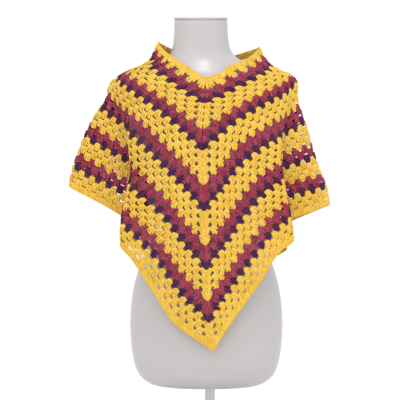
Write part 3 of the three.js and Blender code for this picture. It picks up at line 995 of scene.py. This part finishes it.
# The dress form: node, piece, the angle past which an edge stays creased, and how sharp it stays.
FORM_PIECES = [
    ("form_torso", "dress_form_torso", math.radians(50), 1.0),
    ("form_neck_cap", "dress_form_cap", math.radians(30), 0.9),
]
SMOOTH_LEVELS = 2
FORM_SHADE_ANGLE = math.radians(40)


class PONCHO_OT_form(bpy.types.Operator):
    """Smooth the dress form's torso and neck cap from the frame's own shapes"""

    bl_idname = "poncho.dress_form"
    bl_label = "Dress Form"

    def execute(self, context):
        material = shell_material(context.scene.poncho_colours)
        for node, name, angle, sharpness in FORM_PIECES:
            piece = fine_copy(node, name)
            mesh = piece.data
            work = bmesh.new()
            work.from_mesh(mesh)
            layers = work.edges.layers.float
            crease = layers.get("crease_edge") or layers.new("crease_edge")
            for edge in work.edges:
                if len(edge.link_faces) == 2 and edge.calc_face_angle() > angle:
                    edge[crease] = sharpness
            work.to_mesh(mesh)
            work.free()
            only(piece)
            modifier = piece.modifiers.new("smooth", "SUBSURF")
            modifier.levels = modifier.render_levels = SMOOTH_LEVELS
            bpy.ops.object.modifier_apply(modifier=modifier.name)
            bpy.ops.object.shade_smooth_by_angle(angle=FORM_SHADE_ANGLE)
            finish_mesh(piece, material, node)
        return {"FINISHED"}


# The stand's turned pieces: node, piece, bevel, and how its brushing is stretched along X, Y and Z.
STAND_PIECES = [
    ("stand_pole", "steel_pole", 0.0006, (30, 30, 1)),
    ("stand_base", "steel_base_plate", 0.0012, (1, 1, 12)),
]
HUB_BRUSHING = (1, 1, 20)
TURNED_SIDES = 96
BEVEL_SEGMENTS = 3
STAND_SHADE_ANGLE = math.radians(35)
STEEL_ROUGHNESS = 0.28
HUB_ROUGHNESS = 0.3


class PONCHO_OT_stand(bpy.types.Operator):
    """Turn the pole and the base plate of the stand, and give its hub the same steel"""

    bl_idname = "poncho.stand"
    bl_label = "Stand"

    def execute(self, context):
        steel = tuple(context.scene.poncho_colours.steel)
        for node, name, bevel, stretch in STAND_PIECES:
            low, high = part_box(node)
            deselect()
            bpy.ops.mesh.primitive_cylinder_add(
                vertices=TURNED_SIDES, radius=(high.x - low.x) / 2, depth=high.z - low.z,
                location=(low + high) / 2)
            piece = context.active_object
            piece.name = piece.data.name = name
            bpy.ops.object.transform_apply(location=True, rotation=True, scale=True)
            modifier = piece.modifiers.new("edge", "BEVEL")
            modifier.width = bevel
            modifier.segments = BEVEL_SEGMENTS
            bpy.ops.object.modifier_apply(modifier=modifier.name)
            bpy.ops.object.shade_smooth_by_angle(angle=STAND_SHADE_ANGLE)
            material = steel_material(name, steel, stretch, STEEL_ROUGHNESS)
            finish_mesh(piece, material, node)
        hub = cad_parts["stand_hub"]
        hub.data.materials.clear()
        hub.data.materials.append(steel_material("steel_hub", steel, HUB_BRUSHING, HUB_ROUGHNESS))
        return {"FINISHED"}


# The lights: name, place, width in metres and power in watts. They all point at one place.
LIGHTS = [
    ("key_light", (-1.3, -3.0, 2.6), 1.8, 19),
    ("fill_light", (2.4, -2.4, 1.6), 2.2, 8),
    ("top_light", (0.03, -1.0, 3.0), 0.26, 16),
]
LIGHTS_AIM = Vector((0, 0, 0.6))
CAMERA_AIM = Vector((-0.022, 0, 0.5803))
SENSOR_WIDTH = 36
FLOOR_DROP = 0.0005         # how far under the base plate the floor lies


class PONCHO_OT_stage(bpy.types.Operator):
    """Set the floor, the soft lights and the camera"""

    bl_idname = "poncho.stage"
    bl_label = "Stage"

    def execute(self, context):
        settings = context.scene.poncho_stage
        deselect()
        bpy.ops.mesh.primitive_plane_add(size=settings.floor_size, location=(0, 0, -FLOOR_DROP))
        floor = context.active_object
        floor.name = "floor"
        material, shader, _ = new_material("pale_floor")
        shader.inputs["Base Color"].default_value = (0.97, 0.97, 0.97, 1)
        shader.inputs["Roughness"].default_value = 0.9
        floor.data.materials.append(material)
        world = bpy.data.worlds.new("studio")
        context.scene.world = world
        world.use_nodes = True
        background = world.node_tree.nodes["Background"]
        background.inputs["Color"].default_value = (1, 1, 1, 1)
        background.inputs["Strength"].default_value = settings.world_light
        for name, place, size, power in LIGHTS:
            lamp = bpy.data.lights.new(name, "AREA")
            lamp.size = size
            lamp.energy = power
            made = bpy.data.objects.new(name, lamp)
            made.location = place
            made.rotation_euler = (LIGHTS_AIM - Vector(place)).to_track_quat("-Z", "Y").to_euler()
            context.scene.collection.objects.link(made)
        back = Vector((0, -math.cos(settings.elevation), math.sin(settings.elevation)))
        camera = bpy.data.cameras.new("camera")
        camera.lens = settings.lens
        camera.sensor_width = SENSOR_WIDTH
        made = bpy.data.objects.new("camera", camera)
        made.location = CAMERA_AIM + back * settings.distance
        made.rotation_euler = (-back).to_track_quat("-Z", "Y").to_euler()
        context.scene.collection.objects.link(made)
        context.scene.camera = made
        context.scene.view_settings.view_transform = "Standard"
        return {"FINISHED"}


class PONCHO_PT_panel(bpy.types.Panel):
    """Sizes, colours and the steps that build the poncho"""

    bl_label = "Crocheted Poncho"
    bl_idname = "PONCHO_PT_panel"
    bl_space_type = "VIEW_3D"
    bl_region_type = "UI"
    bl_category = "Poncho"

    def draw(self, context):
        layout = self.layout
        scene = context.scene
        for settings in (scene.poncho_sizes, scene.poncho_colours, scene.poncho_stage):
            box = layout.box()
            for name in settings.__annotations__:
                box.prop(settings, name)
        for operator in OPERATORS:
            layout.operator(operator.bl_idname)


SETTINGS = [PonchoSizes, PonchoColours, StageSettings]
OPERATORS = [PONCHO_OT_stage, PONCHO_OT_edgings, PONCHO_OT_bands, PONCHO_OT_form, PONCHO_OT_stand]


def register():
    """Registers every class and hangs the settings on the scene."""
    for made in (*SETTINGS, *OPERATORS, PONCHO_PT_panel):
        bpy.utils.register_class(made)
    bpy.types.Scene.poncho_sizes = PointerProperty(type=PonchoSizes)
    bpy.types.Scene.poncho_colours = PointerProperty(type=PonchoColours)
    bpy.types.Scene.poncho_stage = PointerProperty(type=StageSettings)


def unregister():
    """Takes the settings off the scene and unregisters every class."""
    del bpy.types.Scene.poncho_sizes, bpy.types.Scene.poncho_colours, bpy.types.Scene.poncho_stage
    for made in reversed((*SETTINGS, *OPERATORS, PONCHO_PT_panel)):
        bpy.utils.unregister_class(made)


def main():
    """Builds everything in order."""
    register()
    bpy.ops.poncho.stage()
    bpy.ops.poncho.crochet_edgings()
    bpy.ops.poncho.crochet_bands()
    bpy.ops.poncho.dress_form()
    bpy.ops.poncho.stand()


if __name__ == "__main__":
    main()
